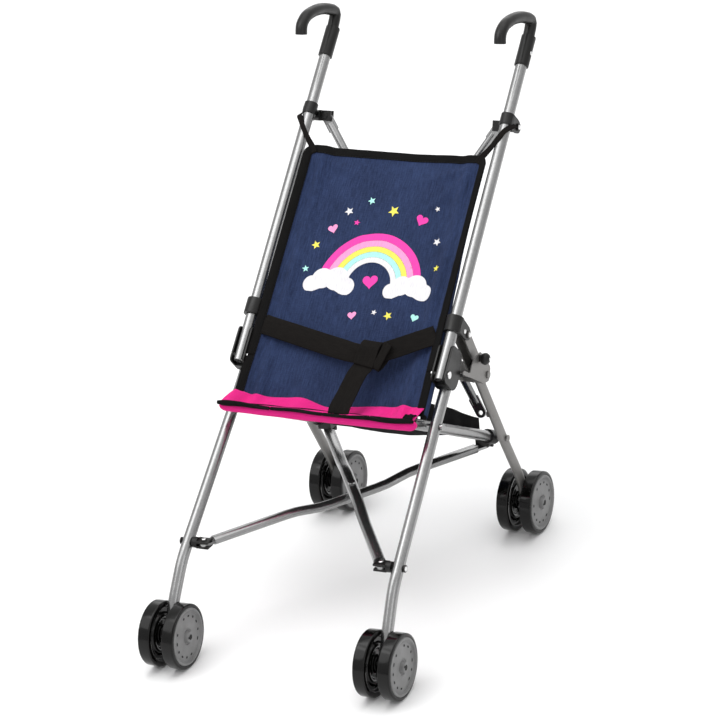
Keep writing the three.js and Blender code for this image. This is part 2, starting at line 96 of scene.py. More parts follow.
# ---------- materials ----------
class Nodes:
    """A material's node tree, with short calls for the nodes used here."""

    def __init__(self, name):
        self.mat = bpy.data.materials.new(name)
        self.mat.use_nodes = True
        self.tree = self.mat.node_tree
        self.bsdf = self.tree.nodes["Principled BSDF"]

    def node(self, kind, inputs=(), **settings):
        n = self.tree.nodes.new(kind)
        for key, value in settings.items():
            setattr(n, key, value)
        for key, value in dict(inputs).items():
            self.put(value, n.inputs[key])
        return n

    def put(self, value, socket):
        if isinstance(value, bpy.types.NodeSocket):
            self.tree.links.new(value, socket)
        else:
            socket.default_value = value

    def set(self, **values):
        for key, value in values.items():
            self.put(value, self.bsdf.inputs[key.replace("_", " ")])

    def coords(self, kind="Object"):
        return self.node("ShaderNodeTexCoord").outputs[kind]

    def mapped(self, coords, scale):
        return self.node("ShaderNodeMapping", {"Vector": coords, "Scale": scale}).outputs[0]

    def noise(self, coords, scale, detail=2.0, rough=0.5):
        ins = {"Vector": coords, "Scale": scale, "Detail": detail, "Roughness": rough}
        return self.node("ShaderNodeTexNoise", ins).outputs["Fac"]

    def ramp(self, fac, stops):
        r = self.node("ShaderNodeValToRGB", {"Fac": fac})
        ramp = r.color_ramp
        while len(ramp.elements) < len(stops):
            ramp.elements.new(0.5)
        for element, (at, colour) in zip(ramp.elements, stops):
            element.position = at
            element.color = (*colour, 1)
        return r.outputs["Color"]

    def math(self, op, a, b=0.0):
        m = self.node("ShaderNodeMath", operation=op)
        self.put(a, m.inputs[0])
        self.put(b, m.inputs[1])
        return m.outputs[0]

    def mix(self, fac, a, b):
        m = self.node("ShaderNodeMix", data_type="RGBA")
        self.put(fac, m.inputs[0])
        self.put(a if isinstance(a, bpy.types.NodeSocket) else (*a, 1), m.inputs[6])
        self.put(b if isinstance(b, bpy.types.NodeSocket) else (*b, 1), m.inputs[7])
        return m.outputs[2]

    def bump(self, height, strength, distance, normal=None):
        ins = {"Height": height, "Strength": strength, "Distance": distance}
        if normal is not None:
            ins["Normal"] = normal
        return self.node("ShaderNodeBump", ins).outputs[0]


STITCH_HALF_WIDTH = 0.00032
STITCH_PITCH = 0.0032
STITCH_FILL = 0.68


def grey(v, warm=0.0):
    return (v * (1 + warm), v, v * (1 - warm))


def metal(name, low, high, rough, brushed=(40, 40, 40), tint=0.0, metallic=1.0, edge=0.0):
    """Metal with soft patches and fine marks in colour and roughness."""
    m = Nodes(name)
    co = m.coords()
    patches = m.noise(co, 28, 3)
    marks = m.noise(m.mapped(co, brushed), 9, 4, 0.6)
    both = m.math("ADD", m.math("MULTIPLY", patches, 0.5), m.math("MULTIPLY", marks, 0.5))
    m.set(Base_Color=m.ramp(both, [(0.3, grey(low, tint)), (0.7, grey(high, tint))]))
    m.set(Metallic=metallic)
    m.set(Roughness=m.ramp(both, [(0.25, grey(rough[0])), (0.75, grey(rough[1]))]))
    normal = None
    if edge:
        normal = m.node("ShaderNodeBevel", {"Radius": edge}, samples=4).outputs[0]
    m.set(Normal=m.bump(marks, 0.04, 0.0001, normal))
    return m.mat


def plastic(name, colour, rough, grain=900, strength=0.15, edge=0.0006, warm=0.04, shine=0.4):
    """Moulded plastic: fine grain, slightly uneven gloss, softened edges."""
    m = Nodes(name)
    co = m.coords()
    fine = m.noise(co, grain, 2)
    broad = m.noise(co, 60, 3)
    m.set(Base_Color=m.ramp(broad, [(0.3, grey(colour * 0.8, warm)), (0.75, grey(colour * 1.25, warm))]))
    m.set(Roughness=m.ramp(broad, [(0.3, grey(rough - 0.06)), (0.7, grey(rough + 0.08))]))
    normal = m.node("ShaderNodeBevel", {"Radius": edge}, samples=4).outputs[0] if edge else None
    m.set(Normal=m.bump(fine, strength, 0.0002, normal), Specular_IOR_Level=shine)
    return m.mat


def cloth(name, dark, light, pitch=0.00055, slub=0.35, rough=0.85, sheen=0.25, sheen_tint=(1, 1, 1),
          stitch=None, shine=0.2):
    """Plain weave on UVs in metres (u across, v along), with slub streaks along v and soft shading."""
    m = Nodes(name)
    uv = m.coords("UV")
    k = 2 * math.pi / pitch
    xyz = m.node("ShaderNodeSeparateXYZ", {0: uv})
    warp = m.math("SINE", m.math("MULTIPLY", xyz.outputs[0], k))
    weft = m.math("SINE", m.math("MULTIPLY", xyz.outputs[1], k))
    weave = m.math("MULTIPLY", warp, weft)
    streaks = m.noise(m.mapped(uv, (850, 70, 1)), 1.0, 5, 0.7)
    cross = m.noise(m.mapped(uv, (160, 1500, 1)), 1.0, 3, 0.6)
    broad = m.noise(m.mapped(uv, (22, 14, 1)), 1.0, 3, 0.55)
    tone = m.math("ADD", m.math("MULTIPLY", streaks, slub), m.math("MULTIPLY", cross, slub * 0.45))
    tone = m.math("ADD", tone, m.math("MULTIPLY", weave, 0.05))
    tone = m.math("ADD", tone, m.math("MULTIPLY", broad, 0.25))
    mid = 0.5 * (slub * 1.45 + 0.25)     # the tone's middle: half of its weights added up
    colour = m.ramp(tone, [(max(0.0, mid - 0.16), dark), (min(1.0, mid + 0.16), light)])
    height = m.math("ADD", m.math("MULTIPLY", weave, 0.5), m.math("MULTIPLY", streaks, 0.9))
    normal = m.bump(height, 0.35, 0.00025)
    if stitch:
        # a dashed seam along v at the given u values
        total = None
        for at in stitch["at"]:
            off = m.math("ABSOLUTE", m.math("SUBTRACT", xyz.outputs[0], at))
            line = m.math("LESS_THAN", off, STITCH_HALF_WIDTH)
            total = line if total is None else m.math("MAXIMUM", total, line)
        dash = m.math("FRACT", m.math("MULTIPLY", xyz.outputs[1], 1 / STITCH_PITCH))
        seam = m.math("MULTIPLY", total, m.math("LESS_THAN", dash, STITCH_FILL))
        colour = m.mix(seam, colour, stitch["colour"])
        normal = m.bump(seam, 0.5, 0.0003, normal)
    m.set(Base_Color=colour, Roughness=rough, Normal=normal)
    m.set(Sheen_Weight=sheen, Sheen_Roughness=0.5, Sheen_Tint=(*sheen_tint, 1), Specular_IOR_Level=shine)
    return m.mat


STEEL = metal("steel_tube", 0.27, 0.34, (0.22, 0.28), (30, 30, 30), 0.0, 0.94)
GREY_STEEL = metal("grey_steel", 0.19, 0.25, (0.42, 0.52), (60, 60, 60), 0.03, 0.75, 0.0006)
ZINC = metal("zinc", 0.72, 0.86, (0.14, 0.26), (90, 90, 90), 0.0, 1.0, 0.0005)
BLACK = plastic("black_plastic", 0.006, 0.36, shine=0.32)
TYRE = plastic("tyre", 0.002, 0.12, 1400, 0.04, 0.0, 0.06, 0.25)
CAP = plastic("hubcap", 0.17, 0.44, 1100, 0.12, 0.0005, 0.0)
# painted shade: a near-black matte finish for the flat patches that stand in for the shade inside the caps'
# openings
HOLE_SHADE = plastic("hole_shade", 0.004, 0.7, 400, 0.05, 0.0)
NAVY = cloth("navy_cloth", (0.0055, 0.0115, 0.037), (0.025, 0.043, 0.113), slub=0.7, sheen=0.03,
             sheen_tint=(0.6, 0.7, 1.0))
PINK = cloth("pink_cloth", (0.62, 0.009, 0.165), (0.74, 0.018, 0.24), slub=0.22, sheen=0.05,
             sheen_tint=(1.0, 0.6, 0.8))
BINDING = cloth("binding", (0.003, 0.003, 0.003), (0.009, 0.0085, 0.0085), 0.0008, 0.3, 0.8, 0.0, shine=0.06,
                stitch={"at": (0.0022, 0.0195), "colour": (0.018, 0.018, 0.019)})
WEBBING = cloth("webbing", (0.0045, 0.004, 0.0038), (0.013, 0.0115, 0.0105), 0.0011, 0.45, 0.85, 0.0,
                shine=0.06)
BLACK_CLOTH = cloth("black_cloth", (0.003, 0.003, 0.0033), (0.010, 0.0095, 0.010), 0.0006, 0.3, 0.9, 0.0,
                    shine=0.06)


# ---------- mesh tools ----------
ACROSS_X = Vector((1, 0, 0))


def new_piece(name, verts, faces, material, body, slot, uvs=None, replaces=(), materials=None,
              face_mats=None):
    """A smooth-shaded mesh object (metres) that rides one of the frame's bodies."""
    me = bpy.data.meshes.new(name)
    me.from_pydata([tuple(v) for v in verts], [], faces)
    me.validate()
    me.polygons.foreach_set("use_smooth", [True] * len(me.polygons))
    if uvs is not None:
        layer = me.uv_layers.new(name="UVMap")
        for loop in me.loops:
            layer.data[loop.index].uv = uvs[loop.vertex_index]
    for mat in materials or [material]:
        me.materials.append(mat)
    if face_mats:
        me.polygons.foreach_set("material_index", face_mats)
    me.update()
    obj = bpy.data.objects.new(name, me)
    bpy.context.scene.collection.objects.link(obj)
    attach(obj, body)
    if replaces:
        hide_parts(*replaces)
    return obj


def fold_with(obj):
    """Gives the piece a mesh of its own; it does not gather or fold as the frame closes."""
    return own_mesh(obj)


def smooth_shading(obj, degrees=34):
    """Rounds a faceted part's shading across faces that meet at a small angle; the shape stays."""
    me = obj.data
    n = len(me.polygons)
    co = np.zeros(len(me.vertices) * 3)
    me.vertices.foreach_get("co", co)
    co = co.reshape(-1, 3)
    normals = np.zeros(n * 3)
    me.polygons.foreach_get("normal", normals)
    normals = normals.reshape(-1, 3)
    area = np.zeros(n)
    me.polygons.foreach_get("area", area)
    starts = np.zeros(n, int)
    totals = np.zeros(n, int)
    me.polygons.foreach_get("loop_start", starts)
    me.polygons.foreach_get("loop_total", totals)
    face_of_loop = np.repeat(np.arange(n), totals)
    vert_of_loop = np.zeros(len(me.loops), int)
    me.loops.foreach_get("vertex_index", vert_of_loop)
    _, key = np.unique(np.round(co * 2e5).astype(np.int64), axis=0, return_inverse=True)
    key = key.reshape(-1)[vert_of_loop]
    order = np.argsort(key, kind="stable")
    cuts = np.flatnonzero(np.diff(key[order])) + 1
    result = np.zeros((len(me.loops), 3))
    limit = math.cos(math.radians(degrees))
    for group in np.split(order, cuts):
        f = face_of_loop[group]
        near = (normals[f] @ normals[f].T > limit) * np.sqrt(area[f])[None, :]
        result[group] = near @ normals[f]
    length = np.linalg.norm(result, axis=1, keepdims=True)
    result = np.where(length > 1e-9, result / np.maximum(length, 1e-9), normals[face_of_loop])
    me.polygons.foreach_set("use_smooth", [True] * n)
    me.normals_split_custom_set(result.tolist())


def catmull(points, per=8):
    """A smooth curve through the points."""
    p = [Vector(q) for q in points]
    p = [p[0] * 2 - p[1], *p, p[-1] * 2 - p[-2]]
    out = []
    for i in range(1, len(p) - 2):
        for k in range(per):
            t = k / per
            a, b, c, d = p[i - 1], p[i], p[i + 1], p[i + 2]
            out.append(0.5 * ((2 * b) + (c - a) * t + (2 * a - 5 * b + 4 * c - d) * t * t
                              + (3 * b - a - 3 * c + d) * t ** 3))
    out.append(p[-2])
    return out


def loft(name, rings, material, body, slot, uvs=None, **kw):
    """A skin over closed rings of equal size, with closed ends; u of the UVs goes round and v along."""
    n = len(rings[0])
    verts = [v for ring in rings for v in ring]
    faces = []
    for i in range(len(rings) - 1):
        for j in range(n):
            a, b = i * n + j, i * n + (j + 1) % n
            faces.append((a, b, b + n, a + n))
    faces.append(tuple(reversed(range(n))))
    faces.append(tuple(range(len(verts) - n, len(verts))))
    return new_piece(name, verts, faces, material, body, slot, uvs=uvs, **kw)


def ribbon(name, points, sides, width, thick, material, body, per=8, slot="black_webbing", **kw):
    """A flat strap along smooth points (mm), its width along `sides`, one per point or one for all."""
    path = catmull(points, per)
    if not isinstance(sides, list):
        sides = [sides] * len(points)
    side_path = catmull(sides, per)
    widths = width if isinstance(width, list) else [width] * len(points)
    width_path = [w[0] for w in catmull([(w, 0, 0) for w in widths], per)]
    section = [(-1, 0), (-0.97, 0.6), (-0.9, 1), (-0.45, 1), (0, 1.06), (0.45, 1), (0.9, 1), (0.97, 0.6),
               (1, 0), (0.97, -0.6), (0.9, -1), (0.45, -1), (0, -1), (-0.45, -1), (-0.9, -1), (-0.97, -0.6)]
    rings, uvs, run = [], [], 0.0
    for i, p in enumerate(path):
        a, b = path[max(0, i - 1)], path[min(len(path) - 1, i + 1)]
        along = (b - a).normalized()
        side = (side_path[i] - along * side_path[i].dot(along)).normalized()
        normal = side.cross(along)
        run += (p - path[i - 1]).length * MM if i else 0.0
        half = width_path[i] / 2
        rings.append([(p + side * (x * half) + normal * (y * thick / 2)) * MM for x, y in section])
        uvs += [(x * half * MM + 0.5, run) for x, _ in section]
    return loft(name, rings, material, body, slot, uvs=uvs, **kw)


def tube(name, points, radius, material, body, slot, per=6, sides=14, **kw):
    """A round rod along smooth points (mm); radius is one number or one per point."""
    path = catmull(points, per)
    radii = radius if isinstance(radius, list) else [radius] * len(points)
    radii = [r[0] for r in catmull([(r, 0, 0) for r in radii], per)]
    rings, uvs, run = [], [], 0.0
    for i, p in enumerate(path):
        a, b = path[max(0, i - 1)], path[min(len(path) - 1, i + 1)]
        along = (b - a).normalized()
        side = (ACROSS_X - along * ACROSS_X.dot(along)).normalized()
        other = along.cross(side)
        run += (p - path[i - 1]).length * MM if i else 0.0
        ring = []
        for j in range(sides):
            t = 2 * math.pi * j / sides
            ring.append((p + side * (math.cos(t) * radii[i]) + other * (math.sin(t) * radii[i])) * MM)
            uvs.append((t * radii[i] * MM, run))
        rings.append(ring)
    return loft(name, rings, material, body, slot, uvs=uvs, **kw)


def grid(name, point, us, vs, material, body, slot, uv=None, thickness=0.0, **kw):
    """A sheet through point(u, v), in mm."""
    verts, uvs = [], []
    for v in vs:
        for u in us:
            verts.append(Vector(point(u, v)) * MM)
            uvs.append(uv(u, v) if uv else (u * MM + 0.5, v * MM + 0.5))
    n = len(us)
    faces = [(j * n + i, j * n + i + 1, (j + 1) * n + i + 1, (j + 1) * n + i)
             for j in range(len(vs) - 1) for i in range(n - 1)]
    obj = new_piece(name, verts, faces, material, body, slot, uvs=uvs, **kw)
    if thickness:
        solid = obj.modifiers.new("thickness", "SOLIDIFY")
        solid.thickness = thickness * MM
        solid.offset = 0
    return obj


def spread(a, b, n):
    """n evenly spaced values from a to b, both included."""
    return [a + (b - a) * i / (n - 1) for i in range(n)]


def smoothstep(a, b, x):
    """0 at a and 1 at b, eased; a may be the larger of the two."""
    t = min(1.0, max(0.0, (x - a) / (b - a)))
    return t * t * (3 - 2 * t)


def ripple(x, y, scale, seed=0.0):
    return noise.noise(Vector((x / scale, y / scale, seed)))


# ---------- the frame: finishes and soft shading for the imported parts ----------
def finish_of(name):
    """The frame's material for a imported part, from its name."""
    if any(k in name for k in ("handle_tube", "front_leg", "seat_rail", "_brace")):
        if "bracket" not in name and "knuckle" not in name:
            return STEEL
    if any(k in name for k in ("rear_link", "rear_leg", "lock_lever")):
        return GREY_STEEL
    if any(k in name for k in ("pin", "axle", "rivet")):
        return ZINC
    return BLACK


for node_name, node in NODES.items():
    node.data.materials.clear()
    node.data.materials.append(finish_of(node_name))
    smooth_shading(node)

# ---------- seat plane: u runs up the tubes from the knee's axis, v stands off it ----------
SLOPE = math.radians(43)
KNEE = Vector((0, -32, 256.6))
SEAT_U = Vector((0, math.cos(SLOPE), math.sin(SLOPE)))
SEAT_V = Vector((0, -math.sin(SLOPE), math.cos(SLOPE)))
TOP_U = 243.0
CREASE = 0.0           # the knee's axis, where the back's two pieces meet
CORNER = 13.0          # radius of the back's upper corners


def seat_point(x, u, v):
    return KNEE + Vector((x, 0, 0)) + SEAT_U * u + SEAT_V * v


EDGE = 96.0            # distance from the middle where the border starts to lean forwards


def half_girth(u):
    """Distance from the middle of the back, along the cloth, to the outer edge of its binding."""
    return 105.3 + 1.5 * smoothstep(40, -40, u)


def sag(t):
    """How far the cloth lies behind the line between its two edges."""
    return -6.0 * (1 - smoothstep(70, 97, abs(t)))


def back_surface(t, u, lift=0.0):
    """A point of the seat back's cloth, t across and u up, with its creases; `lift` is along its normal."""

    def raw(t, u):
        v = sag(t)
        inner = 1 - smoothstep(84, 98, abs(t))
        low = smoothstep(40, -30, u)
        v += 2.8 * ripple(t * 0.8, u * 0.45, 34, 3.1) * inner
        v += 1.5 * ripple(t + 0.3 * u, u * 0.3, 13, 7.7) * inner * (0.25 + 0.75 * low)
        v += 1.1 * math.sin(t / 6.5 + 2.5 * ripple(t, u, 30, 1.0)) * inner * smoothstep(-8, -42, u)
        # a soft fold beside each binding and pulls running in from the upper corners
        v += 3.4 * math.exp(-(((abs(t) - 82) / 5.5) ** 2)) * (0.6 + 0.7 * ripple(u, 5 * (t > 0), 60, 9))
        v -= 2.6 * math.exp(-(((abs(t) - 91) / 4.0) ** 2)) * smoothstep(238, 215, u)
        for k, reach in ((0.35, 60), (1.1, 85), (2.3, 50)):
            c = (97 - abs(t)) * k - (TOP_U - 10 - u)
            d = math.hypot(97 - abs(t), TOP_U - 10 - u)
            v += 2.4 * math.exp(-((c / (3.0 + 3.0 * k)) ** 2)) * math.exp(-d / reach) * inner
        lean = math.radians(14 + 20 * smoothstep(-30, 180, u))
        out = max(0.0, abs(t) - EDGE)
        x = math.copysign(min(abs(t), EDGE) + out * math.cos(lean), t)
        return seat_point(x, u, v + out * math.sin(lean))

    p = raw(t, u)
    if lift:
        e = 0.5
        across = raw(t + e, u) - raw(t - e, u)
        along = raw(t, u + e) - raw(t, u - e)
        p += across.cross(along).normalized() * lift
    return p


def top_edge(t):
    """The rounded top outline of the back."""
    edge = half_girth(TOP_U) - CORNER
    if abs(t) <= edge:
        return TOP_U
    k = min(1.0, (abs(t) - edge) / CORNER)
    return TOP_U - CORNER + CORNER * math.sqrt(max(0.0, 1 - k * k))


def low_edge(t):
    """The wavy lower edge of the back, where the seat is sewn on."""
    return -39.0 - 6.0 * math.exp(-(((t + 5) / 22) ** 2)) - 2.0 * math.sin(t / 17.0)


ACROSS = spread(-1, 1, 131)


def make_back():
    """The back's cloth in two pieces that meet at the knee's axis."""
    top = half_girth(TOP_U)

    def upper(s, w):
        u = CREASE + (top_edge(s * top) - CREASE) * w
        return back_surface(s * half_girth(u), u)

    def lower(s, w):
        u = low_edge(s * 107) * (1 - w) + CREASE * w
        return back_surface(s * half_girth(u), u)

    def uv(low, high):
        return lambda s, w: (s * 0.105 + 0.5, (low + (high - low) * w) * MM + 0.5)

    above = grid("seat_back_cloth", upper, ACROSS, spread(0, 1, 110), NAVY, "handle_right", "navy_cloth",
                 uv=uv(CREASE, TOP_U), replaces=("seat_back",))
    below = grid("seat_back_cloth_low", lower, ACROSS, spread(0, 1, 26), NAVY, "leg_right", "navy_cloth",
                 uv=uv(-42, CREASE), replaces=("seat_back_lower",))
    return above, below


back_up, back_low = make_back()


def binding(name, path, body):
    """Tape folded over the cloth's edge. path gives (t, u) on the edge and the inward direction there."""
    across = [(8.7, 0.25), (8.5, 0.95), (6.6, 1.35), (4.0, 1.45), (1.5, 1.35), (-0.3, 0.9), (-0.8, 0.0),
              (-0.3, -0.9), (1.5, -1.25), (4.0, -1.3), (6.6, -1.25), (8.5, -0.95), (8.7, -0.25)]
    rings, uvs, run, last = [], [], 0.0, None
    for t, u, (nt, nu) in path:
        here = back_surface(t, u)
        run += (here - last).length * MM if last is not None else 0.0
        last = here
        ring = []
        for i, (k, h) in enumerate(across):
            pucker = 0.35 * ripple(run / MM, k, 9, 4.2) * math.copysign(min(1, abs(h)), h)
            ring.append(back_surface(t + nt * k, u + nu * k, h + pucker) * MM)
            uvs.append((i * 0.0018, run))
        rings.append(ring)
    return loft(name, rings, BINDING, body, "black_webbing", uvs=uvs)


def edge_path():
    """Up the left edge, over the top and down the right, with the way inwards at each point."""
    straight = half_girth(TOP_U) - CORNER
    low = TOP_U - CORNER
    path = [(-half_girth(u), u, (1, 0)) for u in spread(CREASE, low, 70)]
    for a in spread(0, math.pi / 2, 9)[1:]:
        c, s = math.cos(a), math.sin(a)
        path.append((-straight - CORNER * c, low + CORNER * s, (c, -s)))
    path += [(t, TOP_U, (0, -1)) for t in spread(-straight, straight, 60)[1:]]
    for a in spread(math.pi / 2, 0, 9)[1:]:
        c, s = math.cos(a), math.sin(a)
        path.append((straight + CORNER * c, low + CORNER * s, (-c, -s)))
    path += [(half_girth(u), u, (-1, 0)) for u in spread(low, CREASE, 70)[1:]]
    return path


soft = [back_up, back_low, binding("seat_binding", edge_path(), "handle_right")]
for label, sign in (("left", -1), ("right", 1)):
    lower_path = [(sign * half_girth(u), u, (-sign, 0)) for u in spread(-47, CREASE, 18)]
    soft.append(binding(f"seat_binding_low_{label}", lower_path, "leg_right"))


def flange(name, sign, low, high, rows, body):
    """The navy side of the back, from under the binding's outer edge towards the tube behind."""

    def point(h, u):
        depth = (0.8 + 15 * smoothstep(165, 10, u)) * h
        bow = 2.0 * math.sin(math.pi * h) + 1.2 * ripple(u, 3 * h, 24, 4 * sign) * h
        top = back_surface(sign * (half_girth(u) - 0.8), u, -1.2)
        return top + Vector((sign * (bow - 2.5 * h) * min(1.0, depth / 4), 0, 0)) - SEAT_V * depth

    return grid(name, point, spread(0, 1, 7), spread(low, high, rows), NAVY, body, "navy_cloth",
                uv=lambda h, u: (h * 0.014, u * MM), thickness=0.8)


for label, sign in (("left", -1), ("right", 1)):
    soft.append(flange(f"seat_flange_{label}", sign, CREASE, 234, 60, "handle_right"))
    soft.append(flange(f"seat_flange_low_{label}", sign, -44, CREASE, 16, "leg_right"))

# ---------- printed motif: clouds, a rainbow, hearts and stars ----------
PRINT_COLOURS = {
    "white": (0.72, 0.71, 0.73), "pink": (0.80, 0.04, 0.36), "rose": (0.85, 0.30, 0.55),
    "yellow": (0.80, 0.72, 0.10), "mint": (0.38, 0.76, 0.70),
}


def ink(name, colour):
    """Screen print: flat colour that lets the cloth's threads show through a little."""
    m = Nodes(name)
    uv = m.coords("UV")
    thread = m.noise(m.mapped(uv, (1400, 120, 1)), 1.0, 3, 0.6)
    dull = tuple(c * 0.82 for c in colour)
    m.set(Base_Color=m.ramp(thread, [(0.3, dull), (0.6, colour)]), Roughness=0.62)
    m.set(Normal=m.bump(thread, 0.25, 0.0002), Specular_IOR_Level=0.3)
    return m.mat


INKS = {k: ink(f"print_{k}", c) for k, c in PRINT_COLOURS.items()}
PRINT_STEP = 3.0       # spacing of the print's inner points


def arc(cx, cy, r, a0, a1, n):
    turns = spread(math.radians(a0), math.radians(a1), n)
    return [(cx + r * math.cos(a), cy + r * math.sin(a)) for a in turns]


def star(cx, cy, r, turn=0.0, inner=0.45):
    out = []
    for i in range(10):
        a = math.pi / 2 + turn + i * math.pi / 5
        k = r if i % 2 == 0 else r * inner
        out.append((cx + k * math.cos(a), cy + k * math.sin(a)))
    return out


def heart(cx, cy, size, turn=0.0):
    out = []
    c, s = math.cos(turn), math.sin(turn)
    for a in spread(0, 2 * math.pi, 41)[:-1]:
        x = 16 * math.sin(a) ** 3
        y = 13 * math.cos(a) - 5 * math.cos(2 * a) - 2 * math.cos(3 * a) - math.cos(4 * a)
        x, y = x * size / 32, y * size / 32
        out.append((cx + x * c - y * s, cy + x * s + y * c))
    return out


def fill(shape):
    """Triangles and points of a flat outline, fine enough to follow the cloth."""
    pts = [Vector(p) for p in shape]
    lo = [min(p[i] for p in shape) for i in (0, 1)]
    hi = [max(p[i] for p in shape) for i in (0, 1)]
    inner = []
    for i in range(int((hi[0] - lo[0]) / PRINT_STEP) + 1):
        for j in range(int((hi[1] - lo[1]) / PRINT_STEP) + 1):
            inner.append(Vector((lo[0] + (i + 0.5) * PRINT_STEP, lo[1] + (j + 0.5) * PRINT_STEP)))
    edge = [(k, (k + 1) % len(pts)) for k in range(len(pts))]
    found = geometry.delaunay_2d_cdt([*pts, *inner], edge, [list(range(len(pts)))], 1, 1e-4)
    return found[0], found[2]


def band(cx, cy, r0, r1, a0, a1, n=40):
    """A piece of a ring between two radii and two angles."""
    return arc(cx, cy, r1, a0, a1, n) + arc(cx, cy, r0, a1, a0, n)


def cloud(cx, cy, k):
    """A cloud's outline from the union of round puffs over a flat base."""
    puffs = [(-17, 0, 9), (-7, 7, 11), (8, 8, 12.5), (19, 1, 9.5)]
    out = []
    for a in spread(0, 2 * math.pi, 121)[:-1]:
        d = Vector((math.cos(a), math.sin(a)))
        best = 0.0
        for px, py, pr in puffs:
            p = Vector((px, py - 1))
            along = p.dot(d)
            gap = p.length_squared - along * along
            if gap < pr * pr:
                best = max(best, along + math.sqrt(pr * pr - gap))
        if d.y < 0:
            base = 9.0 / max(1e-6, -d.y)
            best = min(best, base) if best else base
        out.append((cx + d.x * best * k, cy + d.y * best * k))
    return out


CX, CY = 4.0, 92.0      # the rainbow's centre on the cloth
RAINBOW = (("pink", 8), ("rose", 7), ("yellow", 6), ("mint", 6), ("white", 6))
HEARTS = (("pink", CX + 2, CY + 4, 17, 0.15), ("rose", -52, 152, 11, 0.4), ("pink", 46, 168, 13, -0.3),
          ("mint", 66, 60, 9, -0.2), ("rose", -4, 57, 10, 0.2))
STARS = (("yellow", -66, 132, 5), ("white", -38, 172, 5), ("yellow", 12, 176, 6.5), ("white", 68, 146, 4.5),
         ("mint", -70, 104, 4), ("yellow", 36, 60, 5), ("white", 20, 62, 3.2), ("pink", -26, 160, 3.5),
         ("yellow", 76, 116, 4), ("mint", -16, 186, 4.5), ("white", 60, 182, 3))


def motif():
    """The print's outlines with their colours, the lowest layer first."""
    shapes = []
    r = 58
    for name, width in RAINBOW:
        shapes.append((name, band(CX, CY, r - width + 0.2, r, 4, 176)))
        r -= width
    shapes += [("white", cloud(CX - 45, CY - 3, 1.05)), ("white", cloud(CX + 45, CY - 4, 1.0))]
    shapes += [(name, heart(x, y, size, turn)) for name, x, y, size, turn in HEARTS]
    shapes += [(name, star(x, y, size, x * 0.05)) for name, x, y, size in STARS]
    return shapes


def make_print():
    """The whole motif as one skin just above the cloth, each shape slightly over the one before."""
    names = list(INKS)
    verts, faces, mats, uvs = [], [], [], []
    for k, (name, shape) in enumerate(motif()):
        points, triangles = fill(shape)
        base = len(verts)
        lift = 0.25 + 0.012 * k
        for p in points:
            verts.append(back_surface(p[0], p[1], lift) * MM)
            uvs.append((p[0] * MM + 0.5, p[1] * MM + 0.5))
        for tri in triangles:
            a, b, c = (points[i] for i in tri)
            if (b - a).cross(c - a) < 0:
                tri = tuple(reversed(tri))
            faces.append(tuple(base + i for i in tri))
            mats.append(names.index(name))
    return new_piece("seat_print", verts, faces, None, "handle_right", "navy_cloth", uvs=uvs,
                     materials=[INKS[n] for n in names], face_mats=mats)


soft.append(make_print())

# ---------- webbing ----------
WEB_THICK = 1.3
BELT = [(-97.5, 36.6, 0.6), (-82, 33.0, 1.2), (-58, 28.0, 1.0), (-30, 21.5, 3.0), (0, 14, 8), (24, 9.0, 12.5),
        (44, 11.0, 12), (62, 20, 9), (80, 31, 5), (97.5, 41.5, 1.0)]
belt_points = [seat_point(*p) for p in BELT]
BELT_LEANS = ((0.0, 0.12), (0, 0.14), (0.1, 0.2), (0.15, 0.22), (0.2, 0.25), (0.25, 0.1), (0.2, -0.2),
              (0.1, -0.4), (0, -0.4), (0, -0.35))
belt_sides = [SEAT_U + SEAT_V * k + Vector((x, 0, 0)) for k, x in BELT_LEANS]
BELT_WIDTHS = [21.5] * 5 + [20, 19.5, 21, 21.5, 21.5]
soft.append(ribbon("waist_belt_web", belt_points, belt_sides, BELT_WIDTHS, WEB_THICK, WEBBING, "handle_right",
                   replaces=("waist_belt",)))

# strap between the legs: a web from the seat's front edge, and above it the sewn end that goes round the belt
STRAP = [Vector((25.5, -93, 231.5)), Vector((25.5, -88, 236.5)), Vector((27.5, -72.5, 246)),
         Vector((31, -56, 258.5)), seat_point(34, -6, 14.8), seat_point(35, -2, 15.2)]
STRAP_WIDTHS = [22, 22, 21, 20.5, 21, 21]
STRAP_TOP = [seat_point(*p) for p in (
    (34.3, -5, 15.9), (36, 6, 17.3), (37, 15, 17.8), (37.5, 23, 13.0), (37, 18, 9.0), (36.5, 4, 9.5),
    (36, -5, 13.2))]
STRAP_TOP_WIDTHS = [21.4, 21.4, 21.2, 21, 21, 20, 20]
STRAP_SIDE = Vector((1, 0.1, -0.12))
soft.append(ribbon("crotch_strap_web", STRAP, STRAP_SIDE, STRAP_WIDTHS, WEB_THICK, WEBBING, "rail_right",
                   replaces=("crotch_strap",)))
soft.append(ribbon("crotch_strap_top", STRAP_TOP, STRAP_SIDE, STRAP_TOP_WIDTHS, WEB_THICK, WEBBING,
                   "handle_right"))
LOOP = [seat_point(*p) for p in (
    (52, 24, 9.5), (55, 18, 16), (51, 3, 15.5), (47, -6, 12.5), (49, -1, 8.5), (54, 12, 7))]
soft.append(ribbon("belt_loop", LOOP, Vector((0.9, -0.25, -0.3)), 9, WEB_THICK, WEBBING, "handle_right"))

# narrow straps from the back's upper corners to the brackets on the handles
CORNER_STRAP = ((94, 233, 1.6), (97.5, 240, 2.6), (103, 247, 4.0), (108, 254, 5.6), (112.5, 261, 7.4),
                (117, 268.5, 7.6), (121.3, 275, 4.5), (122.4, 281, -3.0))
CORNER_WIDTHS = [8, 7, 6, 5.5, 5.5, 6, 6.5, 7]
for label, sign in (("left", -1), ("right", 1)):
    corner = [seat_point(sign * x, u, v) for x, u, v in CORNER_STRAP]
    corner_side = SEAT_U * -0.55 + Vector((sign * 0.9, 0, 0)) - SEAT_V * 0.2
    soft.append(ribbon(f"corner_strap_{label}", corner, corner_side, CORNER_WIDTHS, 1.2, WEBBING,
                       "handle_right"))


